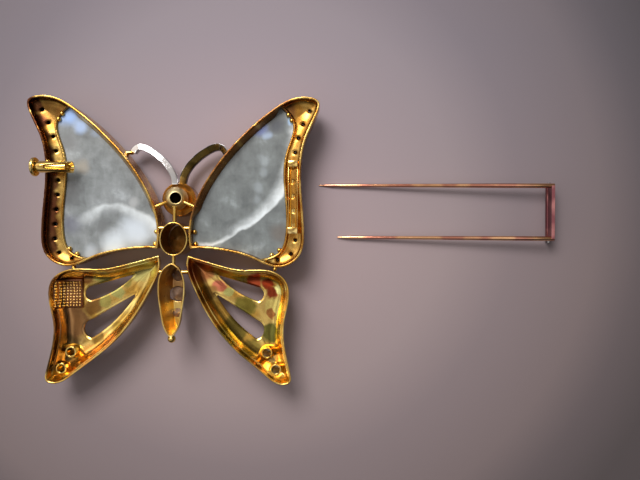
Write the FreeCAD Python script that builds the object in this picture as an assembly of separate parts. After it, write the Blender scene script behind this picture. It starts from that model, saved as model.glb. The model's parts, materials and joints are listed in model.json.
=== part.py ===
import FreeCAD, Part
import math
import os
from FreeCAD import Vector

# A jewelled butterfly that is worn in the hair or on cloth, lying face down, and its loose two-pronged fork.
# Millimetres. The origin lies on the table under the middle of the oval setting on the butterfly's body.
# +X points to the right wing and on to the fork, +Y to the antennae, +Z to the back of the jewel, which
# faces up. The fork hooks into two ears on the right wing, and its long prong shuts in the catch on the left.

# ---- levels above the table ----
RIM_Z = 7.0             # back rims of all four wings
TROUGH_RIM_Z = 5.8      # lower rim between trough and panel
TROUGH_FLOOR_Z = 5.0
BAND_FRONT_Z = 3.2      # front of the stone band under the trough
WING_FRONT_Z = 2.1      # front edge of the panel frame
SHELL_FRONT_Z = 3.0     # front of the lower wings
SHELL_BEND_Z = 4.0      # where a lower wing's floor turns into its wall
ABDOMEN_RIM_Z = 8.6
ABDOMEN_FRONT_Z = 3.4
COLLET_RIM_Z = 7.3
COLLET_FRONT_Z = 0.9
CATCH_Z = 8.0           # axis of the catch
CUT_PAST = 1.0          # how far a cutting body reaches past the surface that it opens

# ---- upper wings ----
UPPER_SPAN = {-1: 1.01, 1: 0.99}    # hand-made: the left wing is a little wider
UPPER_OUTLINE = [(2.9, -1.75), (2.75, 2.8), (5.95, 10.9), (12.85, 19.25), (18.4, 23.75), (23.6, 25.5),
                 (25.95, 24.6), (25.6, 22.4), (23.5, 17.6), (22.75, 11.0), (23.4, 1.0), (22.6, -2.9),
                 (19.2, -4.95), (14.4, -3.5), (8.3, -1.95)]
TROUGH_EDGE = [(15.0, 25.4), (20.0, 22.9), (21.15, 21.2), (20.1, 16.0), (19.6, 10.5), (20.0, 1.0),
               (18.9, -2.2), (16.0, -3.45), (11.0, -4.6)]
OUTER_WALL = 0.4
TROUGH_WALL = 0.4
PANEL_LEDGE = 0.45      # how far the ledge reaches under the panel
PANEL_LEDGE_Z = 4.4     # the panel lies just under the trough's inner rim
PANEL_THICK = 0.9
PANEL_GAP = 0.05
CLAW_R = 0.42
PANEL_CLAWS = [(20.4, 22.5), (21.0, 21.5), (18.9, -1.85), (17.55, -2.75), (3.45, 1.3), (3.65, -0.85)]

# ---- stones of the upper wings, set from the front ----
BAND_STONE_R = 0.95
BAND_STONE_HEIGHT = 1.35
AZURE_R = 0.42          # holes behind the stones
SEAT_TIP_R = 0.1        # where the drill's cone ends
STONE_GAP = 0.02
BAND_LINE = [(24.2, 23.3), (21.9, 17.2), (21.25, 9.0), (21.75, 1.5), (21.2, -2.2), (18.6, -3.6)]
BAND_STONES = 12
CUP_SHARE = 0.36        # crown and girdle, as a share of a stone's height
CROWN_SHARE = 0.3
GIRDLE_SHARE = 0.06
TABLE_SHARE = 0.58      # table's radius against the girdle's
CULET_SHARE = 0.04
CLAW_LIFT = 0.7         # a claw's middle above the panel, as a share of its radius

# ---- lower wings ----
LOWER_SPAN = {-1: 1.04, 1: 0.96}
LOWER_OUTLINE = [(2.55, -2.9), (8.2, -4.5), (13.0, -5.4), (18.0, -5.5), (20.9, -7.4), (21.45, -10.4),
                 (20.6, -15.0), (20.8, -19.4), (21.8, -23.8), (21.75, -25.5), (20.6, -25.95), (17.0, -24.2),
                 (11.3, -19.6), (6.65, -14.05), (3.7, -8.7), (2.35, -4.6)]
SHELL_MIDDLE = (13.5, -12.5)
SHELL_SIZES = (0.84, 0.955, 1.0)    # size of the outline at the front, at the bend and at the rim
SHELL_WALL = 0.35
SHELL_FLOOR = 0.45
SLOTS = [               # each: sharp end, upper edge, three places on the round end, lower edge
    [(7.6, -6.55), (11.6, -7.7), (15.3, -8.75), (16.4, -10.0), (15.4, -11.35), (11.9, -9.9)],
    [(7.2, -9.95), (11.2, -12.4), (15.2, -14.85), (16.5, -16.8), (15.2, -18.3), (11.4, -15.3)],
]
TUBE_SETTINGS = [(17.8, -20.6), (19.5, -23.6)]
TUBE_SHIFT = -0.55      # hand-made: both pairs sit a little left of mirrored places
TUBE_R = 1.0
TUBE_BORE_R = 0.72
TUBE_TOP_Z = 5.0
TUBE_STONE_FRONT_Z = 0.15
TUBE_STONE_HEIGHT = 1.0
PLATE_MIDDLE = (-19.4, -10.15)
PLATE_SIZE = (4.2, 5.2, 0.3)

# ---- body ----
COLLET_RX = 2.5
COLLET_RY = 3.0
COLLET_WALL = 0.25
CENTRE_STONE_FRONT_Z = 0.0  # its table lies on the ground at the origin
CENTRE_STONE_CROWN = 1.7
CENTRE_STONE_PAVILION = 2.2
CENTRE_TABLE_SHARE = 0.6
CENTRE_CULET_SHARE = 0.3
HEAD_Y = 7.3
HEAD_BALL_R = 2.1
HEAD_BALL_Z = 5.2
HEAD_BALL_WALL = 0.3
HEAD_HOLE_R = 0.95
HEAD_COLLET_R = 3.1
HEAD_COLLET_WALL = 0.35
HEAD_COLLET_Z = 3.0     # back of the head's collet
HEAD_STONE_FRONT_Z = 0.25
HEAD_CUP_FLOOR = 0.3    # metal between the head's stone and the ball
NECK_R = 0.35
NECK_Z = 6.4
STEM_R = 0.33
STEM_Z = 6.9
ABDOMEN_OUTLINE = [(0.0, -4.2), (1.75, -5.6), (2.43, -8.6), (1.85, -13.4), (0.75, -16.7), (0.0, -17.3)]
ABDOMEN_WALL = 0.3
ABDOMEN_KEEL = 0.45     # width of the keel against the width of the rim
ABDOMEN_KEEL_LENGTH = 0.9
ABDOMEN_STONES = [(-6.75, 0.95), (-10.05, 1.4), (-13.5, 0.8)]    # place along the body, radius
ABDOMEN_STONE_BACK = 1.2    # above the front of the keel
ABDOMEN_STONE_SHAPE = 1.5   # height against radius
TAIL_BEAD_R = 0.7
TAIL_BEAD_PAST = 0.3    # its middle past the body's end
LINK_R = 0.35
BEAD_R = 0.4
ROOT_LINK_Y = 1.95
ROOT_LINK_Z = 6.6
ROOT_LINK_END = 3.2
ROOT_LINK_MIDDLE = 2.35
BODY_LINK_Y = -5.9
BODY_LINK_Z = 6.5
BODY_LINK_END = 4.0
BODY_LINK_MIDDLE = 2.2
WING_BRIDGE = (18.0, -5.2)
WING_BRIDGE_Z = 6.3
HEAD_LINK = (3.6, 5.75)     # end of the link on the wing's leading edge
HEAD_LINK_Z = 6.0

# ---- antennae ----
ANTENNA_LINE = [(0.7, 10.0), (1.65, 12.95), (3.1, 14.65), (5.3, 16.3), (7.4, 16.95), (8.55, 15.9)]
ANTENNA_WIDTH = 1.15
ANTENNA_FRONT_Z = 2.2
ANTENNA_HEIGHT = 1.4
ANTENNA_STONES = 7
ANTENNA_STONE_R = 0.4
ANTENNA_STONE_HEIGHT = 0.7
ANTENNA_STONE_PROUD = 0.1
ANTENNA_SEAT = 0.65
ANTENNA_LINK_LENGTH = 2.0
RIBBON_STEPS = 4        # places per point of the line

# ---- catch on the left wing ----
CATCH_Y = 12.55
CATCH_OUTER_R = 1.05
CATCH_BORE_R = 0.75
CATCH_RUN_GAP = 0.04    # radial, slider in tube
CATCH_LEFT_X = -23.9
CATCH_MOUTH_X = -17.7
SLIDER_MOUTH_X = -18.7
SLIDER_BORE_R = 0.55
SLIDER_BLIND = 0.5
KNOB_R = 1.68
KNOB_THICK = 0.6
KNOB_EDGE = 0.2
KNOB_GAP = 0.1
SLOT_START_X = -22.1
SLOT_HALF_START = 0.36
SLOT_HALF_MOUTH = 0.74
FOOT_X = SLOT_START_X - 0.3     # the catch's second foot, on the trough's outer wall
FOOT_LIFT = 0.2

# ---- hinge on the right wing and fork ----
HINGE_X = 21.1
PRONG_RISE = 2.15       # prong axis above the hinge axis
EAR_THICK = 1.1
EAR_WIDTH = 1.7
EAR_TOP = 0.75          # above the hinge axis
PIVOT_GAP = 0.05        # radial, bar in ear and bar in barrel
BAR_R = 0.3
BAR_STICKS_OUT = 0.35
BARREL_R = 0.6
CRADLE_GAP = 0.15
FORK_SIDE_GAP = 0.1     # between a prong and its ear
PRONG_SPACING = 9.8
PRONG_ROOT_R = 0.43
PRONG_TIP_R = 0.3
PRONG_STRAIGHT = 8.0    # straight stretch at the root
TIP_STRAIGHT = 7.0      # straight stretch behind the point
POINT_LENGTH = 2.4
POINT_R = 0.08
LONG_REACH = 43.4       # hinge axis to the point of the long prong
SHORT_REACH = 39.9
WEB_THICK = 0.6
FORK_X = 69.2           # where the loose fork's hinge axis lies
FORK_Y = 5.45           # middle of the fork between its prongs

FAR = 60.0
LEAST_COSINE = 0.5      # keeps an inset corner from running away
HINGE_Z = CATCH_Z - PRONG_RISE
HINGE_Y = CATCH_Y - PRONG_SPACING / 2
FORK_HALF = PRONG_SPACING / 2 + PRONG_ROOT_R
EAR_INSIDE = FORK_HALF + FORK_SIDE_GAP
SIDES = {"left": -1, "right": 1}


# ---- helpers ----
def spline_wire(points):
    """A smooth line that starts and ends at the first point, the outline's one corner."""
    curve = Part.BSplineCurve()
    curve.interpolate([Vector(x, y, 0) for x, y in points] + [Vector(points[0][0], points[0][1], 0)])
    return Part.Wire([curve.toShape()])


def open_spline(points):
    curve = Part.BSplineCurve()
    curve.interpolate([Vector(x, y, 0) for x, y in points])
    return curve


def slot_face(points):
    """A tear-shaped opening: two gently curved edges from a sharp end to an arc."""
    tip, upper, end_top, end, end_bottom, lower = [Vector(x, y, 0) for x, y in points]
    top = Part.BSplineCurve()
    top.interpolate([tip, upper, end_top])
    bottom = Part.BSplineCurve()
    bottom.interpolate([end_bottom, lower, tip])
    edges = [top.toShape(), Part.Arc(end_top, end, end_bottom).toShape(), bottom.toShape()]
    return Part.Face(Part.Wire(edges))


def inset(points, distance):
    """The outline's points moved inwards along the normals of its smooth line."""
    curve = Part.BSplineCurve()
    closed = [Vector(x, y, 0) for x, y in points] + [Vector(points[0][0], points[0][1], 0)]
    curve.interpolate(closed)
    area = sum(a.x * b.y - b.x * a.y for a, b in zip(closed, closed[1:]))
    turn = 1 if area > 0 else -1
    moved = []
    for number, point in enumerate(closed[:-1]):
        if number == 0:
            before = curve.tangent(curve.LastParameter)[0]
            after = curve.tangent(curve.FirstParameter)[0]
            along = before + after
            along.normalize()
            stretch = 1 / max(LEAST_COSINE, math.cos(before.getAngle(after) / 2))
        else:
            along = curve.tangent(curve.parameter(point))[0]
            along.normalize()
            stretch = 1
        normal = Vector(-along.y, along.x, 0) * turn
        moved.append((point.x + normal.x * distance * stretch, point.y + normal.y * distance * stretch))
    return moved


def sided(points, side, span):
    return [(side * span * x, y) for x, y in points]


def scaled(points, middle, factor):
    return [(middle[0] + (x - middle[0]) * factor, middle[1] + (y - middle[1]) * factor) for x, y in points]


def flat(points):
    return Part.Face(spline_wire(points))


def lift(face, low, high):
    moved = face.copy()
    moved.translate(Vector(0, 0, low))
    return moved.extrude(Vector(0, 0, high - low))


def taper(low_points, low, high_points, high):
    low_wire = spline_wire(low_points)
    high_wire = spline_wire(high_points)
    low_wire.translate(Vector(0, 0, low))
    high_wire.translate(Vector(0, 0, high))
    return Part.makeLoft([low_wire, high_wire], True, True)


def rod(radius, start, end):
    along = Vector(*end) - Vector(*start)
    return Part.makeCylinder(radius, along.Length, Vector(*start), along)


def ball(radius, middle):
    return Part.makeSphere(radius, Vector(*middle))


def box(low, high):
    return Part.makeBox(high[0] - low[0], high[1] - low[1], high[2] - low[2], Vector(*low))


def upright(radius, x, y, low, high):
    return Part.makeCylinder(radius, high - low, Vector(x, y, low))


def spaced(curve, count):
    """Places at equal steps along a line, ends included."""
    edge = curve.toShape()
    return [(p.x, p.y) for p in edge.discretize(Number=count)]


def brilliant(radius, height, x, y, front):
    """A round cut stone, table down at the level front."""
    crown = CROWN_SHARE * height
    girdle = GIRDLE_SHARE * height
    below = crown + girdle
    top = Part.makeCone(TABLE_SHARE * radius, radius, crown, Vector(x, y, front))
    middle = Part.makeCylinder(radius, girdle, Vector(x, y, front + crown))
    pavilion = Part.makeCone(radius, CULET_SHARE * radius, height - below, Vector(x, y, front + below))
    return top.fuse([middle, pavilion]).removeSplitter()


def ellipse_wire(rx, ry, z):
    """An oval round the Y axis of the body, longer along Y."""
    curve = Part.Ellipse(Vector(0, 0, z), max(rx, ry), min(rx, ry))
    wire = Part.Wire([curve.toShape()])
    if ry > rx:
        wire.rotate(Vector(0, 0, z), Vector(0, 0, 1), 90)
    return wire


def oval(rx, ry, low, high):
    return Part.makeLoft([ellipse_wire(rx, ry, low), ellipse_wire(rx, ry, high)], True, True)


# ---- upper wings ----
def trough_side(points, shift):
    """Everything outwards of the trough's inner edge, moved outwards by shift."""
    side = 1 if points[0][0] > 0 else -1
    curve = open_spline(points)
    moved = []
    for x, y in points:
        along = curve.tangent(curve.parameter(Vector(x, y, 0)))[0]
        moved.append((x - along.y * side * shift, y + along.x * side * shift))
    edge = open_spline(moved).toShape()
    first = edge.valueAt(edge.FirstParameter)
    last = edge.valueAt(edge.LastParameter)
    corners = [last, Vector(last.x, -FAR, 0), Vector(side * FAR, -FAR, 0), Vector(side * FAR, FAR, 0),
               Vector(first.x, FAR, 0), first]
    rest = Part.makePolygon(corners)
    return Part.Face(Part.Wire([edge] + rest.Edges))


def band_places(side):
    return spaced(open_spline(sided(BAND_LINE, side, UPPER_SPAN[side])), BAND_STONES)


def band_seat(x, y):
    """The drilled seat of one band stone: a cup, a cone and a hole that opens in the trough."""
    radius = BAND_STONE_R + STONE_GAP
    stone_front = BAND_FRONT_Z - CROWN_SHARE * BAND_STONE_HEIGHT
    girdle = stone_front + CUP_SHARE * BAND_STONE_HEIGHT
    cup = upright(radius, x, y, stone_front, girdle + STONE_GAP)
    depth = stone_front + BAND_STONE_HEIGHT + STONE_GAP - girdle
    cone = Part.makeCone(radius, SEAT_TIP_R, depth, Vector(x, y, girdle + STONE_GAP))
    hole = upright(AZURE_R, x, y, girdle, RIM_Z)
    return cup.fuse([cone, hole])


def upper_wing(side):
    outline = sided(UPPER_OUTLINE, side, UPPER_SPAN[side])
    edge = sided(TROUGH_EDGE, side, UPPER_SPAN[side])
    inside = flat(inset(outline, OUTER_WALL))
    band = trough_side(edge, 0.0)
    panel = inside.cut(band)
    trough = inside.common(trough_side(edge, TROUGH_WALL))
    frame = lift(flat(outline), WING_FRONT_Z, RIM_Z)
    frame = frame.cut(lift(trough_side(edge, TROUGH_WALL), WING_FRONT_Z - CUT_PAST, BAND_FRONT_Z))
    frame = frame.cut(lift(inside, TROUGH_RIM_Z, RIM_Z + CUT_PAST))
    frame = frame.cut(lift(trough, TROUGH_FLOOR_Z, RIM_Z + CUT_PAST))
    frame = frame.cut(lift(panel, PANEL_LEDGE_Z, RIM_Z + CUT_PAST))
    ledge_hole = flat(inset(outline, OUTER_WALL + PANEL_LEDGE)).cut(trough_side(edge, -PANEL_LEDGE))
    frame = frame.cut(lift(ledge_hole, WING_FRONT_Z - CUT_PAST, PANEL_LEDGE_Z + CUT_PAST))
    for x, y in band_places(side):
        frame = frame.cut(band_seat(x, y))
    return frame


def pearl_panel(side):
    outline = sided(UPPER_OUTLINE, side, UPPER_SPAN[side])
    edge = sided(TROUGH_EDGE, side, UPPER_SPAN[side])
    face = flat(inset(outline, OUTER_WALL + PANEL_GAP)).cut(trough_side(edge, -PANEL_GAP))
    return lift(face, PANEL_LEDGE_Z, PANEL_LEDGE_Z + PANEL_THICK)


def panel_claws(side, frame, panel):
    claws = []
    for x, y in sided(PANEL_CLAWS, side, UPPER_SPAN[side]):
        claw = ball(CLAW_R, (x, y, PANEL_LEDGE_Z + PANEL_THICK + CLAW_LIFT * CLAW_R))
        claws.append(claw.cut(frame).cut(panel))
    return Part.makeCompound(claws)


def band_stones(side):
    front = BAND_FRONT_Z - CROWN_SHARE * BAND_STONE_HEIGHT
    stones = [brilliant(BAND_STONE_R, BAND_STONE_HEIGHT, x, y, front) for x, y in band_places(side)]
    return Part.makeCompound(stones)


# ---- lower wings ----
def tube_places(side):
    return [(x + TUBE_SHIFT, y) for x, y in sided(TUBE_SETTINGS, side, LOWER_SPAN[side])]


def dish(points, middle, levels):
    """A solid that widens from its front over a bend to its back rim."""
    steps = []
    for number in range(len(levels) - 1):
        low_points = scaled(points, middle, SHELL_SIZES[number])
        high_points = scaled(points, middle, SHELL_SIZES[number + 1])
        steps.append(taper(low_points, levels[number], high_points, levels[number + 1]))
    return steps[0].fuse(steps[1:])


def lower_wing(side):
    span = LOWER_SPAN[side]
    middle = (side * span * SHELL_MIDDLE[0], SHELL_MIDDLE[1])
    outline = sided(LOWER_OUTLINE, side, span)
    inner = inset(outline, SHELL_WALL)
    solid = dish(outline, middle, (SHELL_FRONT_Z, SHELL_BEND_Z, RIM_Z))
    hollow = dish(inner, middle, (SHELL_FRONT_Z + SHELL_FLOOR, SHELL_BEND_Z + SHELL_FLOOR, RIM_Z))
    shell = solid.cut(hollow)
    for slot in SLOTS:
        opening = slot_face(sided(slot, side, span))
        shell = shell.cut(lift(opening, SHELL_FRONT_Z - CUT_PAST, RIM_Z + CUT_PAST))
    for x, y in tube_places(side):
        shell = shell.cut(upright(TUBE_R, x, y, 0, RIM_Z))
    return shell


def wing_tubes(side, shell):
    tubes = []
    for x, y in tube_places(side):
        tube = upright(TUBE_R, x, y, 0, TUBE_TOP_Z).cut(upright(TUBE_BORE_R, x, y, 0, TUBE_TOP_Z))
        tubes.append(tube.cut(shell))
    return Part.makeCompound(tubes)


def wing_stones(side):
    stones = []
    for x, y in tube_places(side):
        stones.append(brilliant(TUBE_BORE_R - STONE_GAP, TUBE_STONE_HEIGHT, x, y, TUBE_STONE_FRONT_Z))
    return Part.makeCompound(stones)


# ---- body ----
def centre_collet():
    wall = oval(COLLET_RX, COLLET_RY, COLLET_FRONT_Z, COLLET_RIM_Z)
    rx = COLLET_RX - COLLET_WALL
    ry = COLLET_RY - COLLET_WALL
    return wall.cut(oval(rx, ry, COLLET_FRONT_Z - CUT_PAST, COLLET_RIM_Z + CUT_PAST))


def centre_stone():
    rx = COLLET_RX - COLLET_WALL - STONE_GAP
    ry = COLLET_RY - COLLET_WALL - STONE_GAP
    girdle = CENTRE_STONE_FRONT_Z + CENTRE_STONE_CROWN
    culet = girdle + CENTRE_STONE_PAVILION
    table_wire = ellipse_wire(CENTRE_TABLE_SHARE * rx, CENTRE_TABLE_SHARE * ry, CENTRE_STONE_FRONT_Z)
    girdle_wire = ellipse_wire(rx, ry, girdle)
    culet_wire = ellipse_wire(CENTRE_CULET_SHARE * rx, CENTRE_CULET_SHARE * ry, culet)
    crown = Part.makeLoft([table_wire, girdle_wire], True, True)
    pavilion = Part.makeLoft([girdle_wire, culet_wire], True, True)
    return crown.fuse(pavilion).removeSplitter()


def head_ball(collet):
    middle = (0, HEAD_Y, HEAD_BALL_Z)
    shell = ball(HEAD_BALL_R, middle).cut(ball(HEAD_BALL_R - HEAD_BALL_WALL, middle))
    return shell.cut(upright(HEAD_HOLE_R, 0, HEAD_Y, HEAD_BALL_Z, FAR)).cut(collet)


def head_collet():
    cup = upright(HEAD_COLLET_R, 0, HEAD_Y, 0, HEAD_COLLET_Z + HEAD_CUP_FLOOR)
    bore = upright(HEAD_COLLET_R - HEAD_COLLET_WALL, 0, HEAD_Y, 0, HEAD_COLLET_Z)
    dish = ball(HEAD_BALL_R, (0, HEAD_Y, HEAD_BALL_Z))
    return cup.cut(bore).cut(dish)


def head_stone():
    radius = HEAD_COLLET_R - HEAD_COLLET_WALL - STONE_GAP
    height = HEAD_COLLET_Z - HEAD_STONE_FRONT_Z - HEAD_CUP_FLOOR
    return brilliant(radius, height, 0, HEAD_Y, HEAD_STONE_FRONT_Z)


def abdomen_outline(points):
    """The half outline and its mirror image joined to one closed ring of points."""
    back = [(-x, y) for x, y in reversed(points[1:-1])]
    return points + back


def keel_points(points, middle_y):
    """The rim's outline drawn in to the narrow keel at the front."""
    return [(x * ABDOMEN_KEEL, middle_y + (y - middle_y) * ABDOMEN_KEEL_LENGTH) for x, y in points]


def abdomen_shell():
    rim = abdomen_outline(ABDOMEN_OUTLINE)
    inner = inset(rim, ABDOMEN_WALL)
    middle_y = (ABDOMEN_OUTLINE[0][1] + ABDOMEN_OUTLINE[-1][1]) / 2
    keel = keel_points(rim, middle_y)
    inner_keel = keel_points(inner, middle_y)
    solid = taper(keel, ABDOMEN_FRONT_Z, rim, ABDOMEN_RIM_Z)
    hollow = taper(inner_keel, ABDOMEN_FRONT_Z + ABDOMEN_WALL, inner, ABDOMEN_RIM_Z)
    shell = solid.cut(hollow)
    for y, radius in ABDOMEN_STONES:
        shell = shell.cut(upright(radius, 0, y, 0, ABDOMEN_FRONT_Z + ABDOMEN_STONE_BACK))
    return shell


def abdomen_stones():
    stones = []
    for y, radius in ABDOMEN_STONES:
        height = ABDOMEN_STONE_SHAPE * radius
        back = ABDOMEN_FRONT_Z + ABDOMEN_STONE_BACK
        stones.append(brilliant(radius, height, 0, y, back - height))
    return Part.makeCompound(stones)


# ---- antennae ----
def ribbon(points, width, low, high):
    """A band of even width along a smooth line."""
    curve = open_spline(points)
    edge = curve.toShape()
    count = RIBBON_STEPS * len(points)
    left = []
    right = []
    for number in range(count):
        parameter = edge.FirstParameter + (edge.LastParameter - edge.FirstParameter) * number / (count - 1)
        place = curve.value(parameter)
        along = curve.tangent(parameter)[0]
        normal = Vector(-along.y, along.x, 0)
        left.append(place + normal * width / 2)
        right.append(place - normal * width / 2)
    edges = []
    for row in (left, right):
        side_curve = Part.BSplineCurve()
        side_curve.interpolate(row)
        edges.append(side_curve.toShape())
    edges.append(Part.makeLine(left[0], right[0]))
    edges.append(Part.makeLine(left[-1], right[-1]))
    return lift(Part.Face(Part.Wire(Part.__sortEdges__(edges))), low, high)


def antenna_places(side):
    places = spaced(open_spline(sided(ANTENNA_LINE, side, 1.0)), ANTENNA_STONES + 2)
    return places[1:-1]


def antenna(side, collet):
    line = sided(ANTENNA_LINE, side, 1.0)
    band = ribbon(line, ANTENNA_WIDTH, ANTENNA_FRONT_Z, ANTENNA_FRONT_Z + ANTENNA_HEIGHT)
    for x, y in antenna_places(side):
        band = band.cut(upright(ANTENNA_STONE_R + STONE_GAP, x, y, 0, ANTENNA_FRONT_Z + ANTENNA_SEAT))
    return band.cut(collet)


def antenna_stones(side):
    front = ANTENNA_FRONT_Z - ANTENNA_STONE_PROUD
    places = antenna_places(side)
    stones = [brilliant(ANTENNA_STONE_R, ANTENNA_STONE_HEIGHT, x, y, front) for x, y in places]
    return Part.makeCompound(stones)


# ---- solder beads and short links that join the castings ----
def joined(shape, neighbours):
    """What is left of a link between the pieces that it is soldered to, without crumbs."""
    for neighbour in neighbours:
        shape = shape.cut(neighbour)
    return max(shape.Solids, key=lambda solid: solid.Volume)


def neck_wire(collet, head):
    return joined(rod(NECK_R, (0, COLLET_RY - COLLET_WALL, NECK_Z), (0, HEAD_Y, NECK_Z)), [collet, head])


def abdomen_stem(collet, abdomen):
    start = (0, COLLET_WALL - COLLET_RY, STEM_Z)
    end = (0, ABDOMEN_OUTLINE[0][1] - CUT_PAST, STEM_Z)
    return joined(rod(STEM_R, start, end), [collet, abdomen])


def tail_bead(abdomen):
    middle = (0, ABDOMEN_OUTLINE[-1][1] - TAIL_BEAD_PAST, ABDOMEN_RIM_Z - TAIL_BEAD_R)
    return joined(ball(TAIL_BEAD_R, middle), [abdomen])


def root_bead(side, frame, collet):
    end = (side * ROOT_LINK_END, ROOT_LINK_Y, ROOT_LINK_Z)
    pieces = rod(LINK_R, (0, ROOT_LINK_Y, ROOT_LINK_Z), end).cut(frame).cut(collet).Solids
    return min(pieces, key=lambda solid: abs(abs(solid.CenterOfMass.x) - ROOT_LINK_MIDDLE))


def body_link(side, wing, abdomen):
    start = (0, BODY_LINK_Y, BODY_LINK_Z)
    end = (side * BODY_LINK_END, BODY_LINK_Y, BODY_LINK_Z)
    pieces = rod(LINK_R, start, end).cut(wing).cut(abdomen).Solids
    return min(pieces, key=lambda solid: abs(abs(solid.CenterOfMass.x) - BODY_LINK_MIDDLE))


def wing_bridge(side, upper, lower):
    x = side * WING_BRIDGE[0]
    return joined(ball(BEAD_R, (x, WING_BRIDGE[1], WING_BRIDGE_Z)), [upper, lower])


def head_link(side, frame, head):
    start = (side * HEAD_LINK[0], HEAD_LINK[1], HEAD_LINK_Z)
    pieces = rod(LINK_R, start, (0, HEAD_Y, HEAD_LINK_Z)).cut(head).cut(frame).Solids
    return max(pieces, key=lambda solid: abs(solid.CenterOfMass.x))


def antenna_link(side, ribbon_band, frame):
    x, y = ANTENNA_LINE[-1]
    z = ANTENNA_FRONT_Z + ANTENNA_HEIGHT / 2
    end = (side * (x + ANTENNA_LINK_LENGTH), y, z)
    pieces = rod(LINK_R, (side * x, y, z), end).cut(ribbon_band).cut(frame).Solids
    return min(pieces, key=lambda solid: abs(solid.CenterOfMass.x))


def bare_plate(wing):
    width, height, thick = PLATE_SIZE
    low = (PLATE_MIDDLE[0] - width / 2, PLATE_MIDDLE[1] - height / 2, SHELL_FRONT_Z + SHELL_FLOOR)
    return joined(box(low, (low[0] + width, low[1] + height, low[2] + thick)), [wing])


# ---- catch ----
def catch_body():
    return rod(CATCH_OUTER_R, (CATCH_LEFT_X, CATCH_Y, CATCH_Z), (CATCH_MOUTH_X, CATCH_Y, CATCH_Z))


def catch_foot(frame):
    foot = ball(BEAD_R, (FOOT_X, CATCH_Y + CATCH_OUTER_R, RIM_Z + FOOT_LIFT))
    return joined(foot, [frame, catch_body()])


def catch_tube():
    start = (CATCH_LEFT_X, CATCH_Y, CATCH_Z)
    end = (CATCH_MOUTH_X, CATCH_Y, CATCH_Z)
    tube = rod(CATCH_OUTER_R, start, end).cut(rod(CATCH_BORE_R, start, end))
    slot_end = CATCH_MOUTH_X + CUT_PAST
    corners = [(SLOT_START_X, -SLOT_HALF_START), (slot_end, -SLOT_HALF_MOUTH),
               (slot_end, SLOT_HALF_MOUTH), (SLOT_START_X, SLOT_HALF_START)]
    points = [Vector(x, CATCH_Y + y, CATCH_Z) for x, y in corners]
    slot = Part.Face(Part.makePolygon(points + points[:1])).extrude(Vector(0, 0, 2 * CATCH_OUTER_R))
    round_end = upright(SLOT_HALF_START, SLOT_START_X, CATCH_Y, CATCH_Z, CATCH_Z + 2 * CATCH_OUTER_R)
    return tube.cut(slot).cut(round_end)


def catch_slider():
    left = CATCH_LEFT_X - KNOB_GAP
    body = rod(CATCH_BORE_R - CATCH_RUN_GAP, (left, CATCH_Y, CATCH_Z), (SLIDER_MOUTH_X, CATCH_Y, CATCH_Z))
    return body.cut(rod(SLIDER_BORE_R, (left + SLIDER_BLIND, CATCH_Y, CATCH_Z), (0, CATCH_Y, CATCH_Z)))


def catch_knob():
    right = CATCH_LEFT_X - KNOB_GAP
    disc = rod(KNOB_R, (right - KNOB_THICK, CATCH_Y, CATCH_Z), (right, CATCH_Y, CATCH_Z))
    rims = [edge for edge in disc.Edges if edge.Curve.TypeId == "Part::GeomCircle"]
    return disc.makeFillet(KNOB_EDGE, rims)


# ---- hinge on the right wing ----
def ear(direction, frame):
    """One ear: a block in the trough with a round hole for the end of the bar."""
    near = HINGE_Y + direction * EAR_INSIDE
    far = near + direction * EAR_THICK
    block = box((HINGE_X - EAR_WIDTH / 2, min(near, far), TROUGH_FLOOR_Z),
                (HINGE_X + EAR_WIDTH / 2, max(near, far), HINGE_Z + EAR_TOP))
    hole = rod(BAR_R + PIVOT_GAP, (HINGE_X, near - direction * CUT_PAST, HINGE_Z),
               (HINGE_X, far + direction * CUT_PAST, HINGE_Z))
    return block.cut(hole).cut(frame)


def hinge_cradle(frame):
    half = EAR_INSIDE
    block = box((HINGE_X - EAR_WIDTH / 2, HINGE_Y - half, TROUGH_FLOOR_Z),
                (HINGE_X + EAR_WIDTH / 2, HINGE_Y + half, HINGE_Z))
    groove = rod(BARREL_R + CRADLE_GAP, (HINGE_X, HINGE_Y - FAR, HINGE_Z), (HINGE_X, HINGE_Y + FAR, HINGE_Z))
    return block.cut(groove).cut(frame)


# ---- fork, built upright on its hinge axis and then laid down on its points ----
def lay_down(shape):
    drop = math.asin((PRONG_RISE + BARREL_R - PRONG_TIP_R) / (LONG_REACH - POINT_LENGTH))
    shape.rotate(Vector(0, 0, 0), Vector(0, 1, 0), -math.degrees(drop))
    shape.translate(Vector(FORK_X, FORK_Y, BARREL_R))
    return shape


def prong(direction, reach):
    y = direction * PRONG_SPACING / 2
    root_end = -PRONG_STRAIGHT
    point_start = -reach + POINT_LENGTH
    tip_start = point_start + TIP_STRAIGHT
    back = rod(PRONG_ROOT_R, (WEB_THICK / 2, y, PRONG_RISE), (root_end, y, PRONG_RISE))
    toward_tip = Vector(-1, 0, 0)
    root = Vector(root_end, y, PRONG_RISE)
    slim = Part.makeCone(PRONG_ROOT_R, PRONG_TIP_R, root_end - tip_start, root, toward_tip)
    tip = rod(PRONG_TIP_R, (tip_start, y, PRONG_RISE), (point_start, y, PRONG_RISE))
    point_root = Vector(point_start, y, PRONG_RISE)
    point = Part.makeCone(PRONG_TIP_R, POINT_R, POINT_LENGTH, point_root, toward_tip)
    return back.fuse([slim, tip, point]).removeSplitter()


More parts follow.
